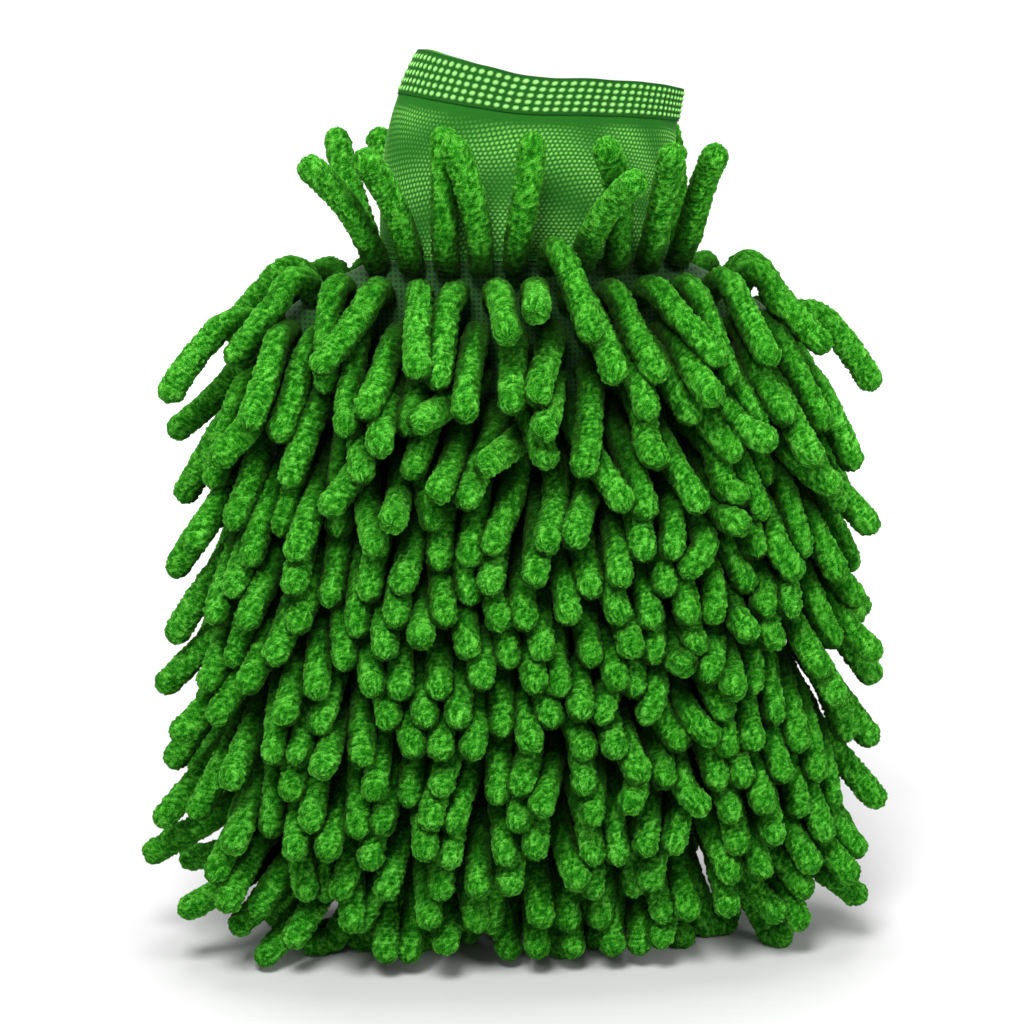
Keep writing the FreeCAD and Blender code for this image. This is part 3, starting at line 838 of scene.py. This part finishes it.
def build_label():
    """A blank satin care label, sewn in at its foot and leaning out at its top."""
    low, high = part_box("care_label")
    u, v = np.meshgrid(np.linspace(0, 1, 13), np.linspace(0, 1, 31))
    lean = LABEL_LEAN * v**2
    curve = LABEL_CURVE * np.sin(math.pi * u)
    x = low[0] + (high[0] - low[0]) * u
    y = high[1] - lean - curve - LABEL_THICKNESS
    z = low[2] + (high[2] - low[2]) * LABEL_SHOWN * v
    front = np.stack([x, y, z], -1)
    back = front + np.array([0, LABEL_THICKNESS, 0])
    border = ((u < 0.10) | (u > 0.90) | (v > 0.94)).astype(float)
    rows, across = u.shape
    grid = np.arange(rows * across).reshape(rows, across)
    quads = np.stack([grid[:-1, :-1], grid[:-1, 1:], grid[1:, 1:], grid[1:, :-1]], -1).reshape(-1, 4)
    far = rows * across
    rim = np.concatenate([grid[0, :-1], grid[:-1, -1], grid[-1, :0:-1], grid[:0:-1, 0]])
    after = np.roll(rim, -1)
    sides = np.stack([rim, rim + far, after + far, after], -1)
    faces = np.concatenate([quads, quads[:, ::-1] + far, sides])
    verts = np.concatenate([front.reshape(-1, 3), back.reshape(-1, 3)])
    satin = knit_material("label_satin", (0.002, 0.040, 0.060), (0.010, 0.110, 0.140))
    label = new_object("care_label_tab", verts, faces, satin, {"loop": np.tile(border.ravel(), 2)})
    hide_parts("care_label")
    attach(label, "cuff")


# ---------------------------------------------------------------- cuff

def cuff_surface(turn, share, inset):
    """Points of the cuff a share of the way up, turned from +X, moved in by inset.

    The rim dips from its left corner.
    """
    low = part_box("cuff_flex")[0][2]
    top = CUFF_TOP_HEIGHT
    half_x = CUFF_HALF_WIDTH_LOW + (CUFF_HALF_WIDTH_TOP - CUFF_HALF_WIDTH_LOW) * share**3.5
    half_y = CUFF_HALF_DEPTH_LOW + (CUFF_HALF_DEPTH_TOP - CUFF_HALF_DEPTH_LOW) * share
    flute = 0.0007 * np.sin(9 * turn + 2.0) * share + 0.0005 * np.sin(17 * turn + 5 * share) * share
    cos, sin = np.cos(turn), np.sin(turn)
    across = (half_x - inset) * cos
    deep = (half_y - inset + flute) * sin
    left = np.clip(-cos, 0, 1) ** 1.5 * RIM_LEFT_RISE
    right = np.clip(cos, 0, 1) ** 2 * RIM_RIGHT_DROP
    back = -deep * math.tan(math.radians(RIM_TILT_BACK))
    z = low + (top - low) * share + (left - right + back) * share**1.5
    return np.stack([across + CUFF_LEAN * share**3, deep, z], -1)


def bead(u, v, width, height):
    """A rounded raised loop centred in a cell whose coordinates u and v run from 0 to 1."""
    return np.exp(-(((np.mod(u, 1) - 0.5) / width) ** 2 + ((np.mod(v, 1) - 0.5) / height) ** 2) ** 1.6)


def knit_tube(name, material, low, high, rings, loops, inset, thickness):
    """A closed tube of knitted cloth between two shares of the cuff's height, loops raised outside."""
    around = CUFF_COLUMNS * CUFF_COLUMN_POINTS
    turn = np.linspace(0, 2 * math.pi, around, endpoint=False)[None, :]
    share = np.linspace(low, high, rings)[:, None]
    turns, shares = np.broadcast_arrays(turn, share)
    raised, paleness = loops(turns, shares)
    outer = cuff_surface(turns, shares, inset)
    across, deep = np.cos(turns) / CUFF_HALF_WIDTH_LOW, np.sin(turns) / CUFF_HALF_DEPTH_LOW
    normal = np.stack([across, deep, 0 * turns], -1)
    normal /= np.linalg.norm(normal, axis=-1, keepdims=True)
    outer = outer + normal * raised[..., None]
    inner_share = np.linspace(high, low, TUBE_INNER_RINGS)[:, None]
    turns_in, shares_in = np.broadcast_arrays(turn, inner_share)
    inner = cuff_surface(turns_in, shares_in, inset + thickness)
    verts = np.concatenate([outer, inner])
    rows = len(verts)
    grid = np.arange(rows * around).reshape(rows, around)
    below = np.roll(grid, -1, 0)
    faces = np.stack([grid, np.roll(grid, -1, 1), np.roll(below, -1, 1), below], -1).reshape(-1, 4)
    loop = np.concatenate([paleness, np.full(inner.shape[:2], 0.35)])
    return new_object(name, verts.reshape(-1, 3), faces, material, {"loop": loop.ravel()})


def hem_loops(turn, share):
    """Five rows of square pale loops, with a plain dark edge above them."""
    column = turn / (2 * math.pi) * CUFF_COLUMNS
    row = (1 - HEM_EDGE_SHARE - share) / HEM_ROW_SHARE
    loops = bead(column, row, 0.29, 0.30) * (row > 0) * (row < HEM_ROWS)
    return HEM_LOOP_HEIGHT * loops, loops


def sleeve_loops(turn, share):
    """Fine knitting in uneven courses, smooth and dark in places and pale where its loops stand up."""
    column = turn / (2 * math.pi) * CUFF_COLUMNS * 2
    drift = 1.6 * np.sin(2 * turn + 1.0) + 0.8 * np.sin(5 * turn + 9 * share)
    course = share * SLEEVE_COURSES + drift
    loops = bead(column + 0.5 * np.floor(course), course, 0.30, 0.36)
    patch = 0.5 + 0.5 * np.sin(3 * turn + 4 * np.sin(2.3 * turn) + 14 * share + 1.4)
    fade = np.clip((HEM_LOW_SHARE - 0.035 - share) / 0.05, 0, 1)
    cover = (0.25 + 0.75 * patch) * fade
    return SLEEVE_LOOP_HEIGHT * loops * cover, loops * cover * 0.85


def elastic_ribs(turn, share):
    """Covered rubber threads, as ribs that run round the band."""
    ribs = 0.5 - 0.5 * np.cos(2 * math.pi * share / ELASTIC_RIB_SHARE)
    return ELASTIC_RIB_HEIGHT * ribs, ribs


def build_cuff():
    """Sleeve, hem and elastic band. The hem and the elastic band move with the cuff; the sleeve is attached
    to neither body.
    """
    sleeve_yarn = knit_material("knit", (0.006, 0.095, 0.003), (0.20, 0.58, 0.10))
    hem_yarn = knit_material("hem", (0.002, 0.060, 0.001), (0.24, 0.62, 0.14), 0.1)
    sleeve = knit_tube("cuff_sleeve_knit", sleeve_yarn, 0.0, HEM_LOW_SHARE,
                       150, sleeve_loops, 0.0, SLEEVE_THICKNESS)
    hem = knit_tube("cuff_hem_knit", hem_yarn, HEM_LOW_SHARE, 1.0,
                    60, hem_loops, -HEM_STEP_OUT, HEM_THICKNESS)
    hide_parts("cuff_sleeve", "cuff_flex")
    rubber = knit_material("elastic", (0.55, 0.58, 0.50), (0.85, 0.86, 0.80))
    elastic = knit_tube("hem_elastic_band", rubber, HEM_LOW_SHARE + 0.02, 0.975,
                        40, elastic_ribs, ELASTIC_INSET, ELASTIC_THICKNESS)
    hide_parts("hem_elastic")
    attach(elastic, "cuff")
    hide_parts("cuff_hem")
    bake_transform(sleeve)
    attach(hem, "cuff")


# ---------------------------------------------------------------- stage

def add_stage():
    """A pale floor that glows more with distance, and a white world."""
    mesh = bpy.data.meshes.new("floor")
    work = bmesh.new()
    bmesh.ops.create_grid(work, x_segments=1, y_segments=1, size=FLOOR_HALF_SIZE)
    work.to_mesh(mesh)
    work.free()
    floor = bpy.data.objects.new("floor", mesh)
    scene.collection.objects.link(floor)
    m = Nodes("floor_white")
    m.set(Base_Color=(FLOOR_GREY, FLOOR_GREY, FLOOR_GREY, 1), Roughness=0.9, Specular_IOR_Level=0.1)
    place = m.add("ShaderNodeTexCoord")
    reach = m.add("ShaderNodeVectorMath", operation="LENGTH")
    m.link(place.outputs["Object"], reach.inputs[0])
    glow = m.add("ShaderNodeMapRange")
    ends = ("From Min", "From Max", "To Min", "To Max")
    for key, value in zip(ends, (*FLOOR_GLOW_REACH, 0.0, FLOOR_GLOW)):
        glow.inputs[key].default_value = value
    m.link(reach.outputs["Value"], glow.inputs["Value"])
    m.link(glow.outputs["Result"], m.shader.inputs["Emission Strength"])
    m.shader.inputs["Emission Color"].default_value = (1, 1, 1, 1)
    mesh.materials.append(m.material)
    world = bpy.data.worlds.new("studio")
    scene.world = world
    world.use_nodes = True
    background = world.node_tree.nodes["Background"]
    background.inputs[0].default_value = (1, 1, 1, 1)
    background.inputs[1].default_value = WORLD_STRENGTH


def add_area_light(name, place, aim, size, power):
    light = bpy.data.lights.new(name, "AREA")
    light.shape = "SQUARE"
    light.size = size
    light.energy = power
    obj = bpy.data.objects.new(name, light)
    scene.collection.objects.link(obj)
    obj.location = place
    obj.rotation_euler = (Vector(aim) - Vector(place)).to_track_quat("-Z", "Y").to_euler()


def add_camera():
    low, high = cad_box
    aim = Vector(((low[0] + high[0]) / 2 + VIEW_OFFSET[0], 0.0, (low[2] + high[2]) / 2 + VIEW_OFFSET[1]))
    data = bpy.data.cameras.new("camera")
    data.lens = CAMERA_LENS
    data.sensor_width = 36
    data.clip_start = 0.01
    camera = bpy.data.objects.new("camera", data)
    scene.collection.objects.link(camera)
    flat = CAMERA_DISTANCE * math.cos(CAMERA_ELEVATION)
    camera.location = aim + Vector((
        flat * math.sin(CAMERA_AZIMUTH),
        -flat * math.cos(CAMERA_AZIMUTH),
        CAMERA_DISTANCE * math.sin(CAMERA_ELEVATION)))
    camera.rotation_euler = (aim - camera.location).to_track_quat("-Z", "Y").to_euler()
    scene.camera = camera


scene.view_settings.view_transform = "Standard"
add_camera()
add_stage()
for light_name, settings in LIGHTS.items():
    add_area_light(light_name, *settings)
build_cuff()
build_label()
build_bag(build_noodles(chenille_material()))
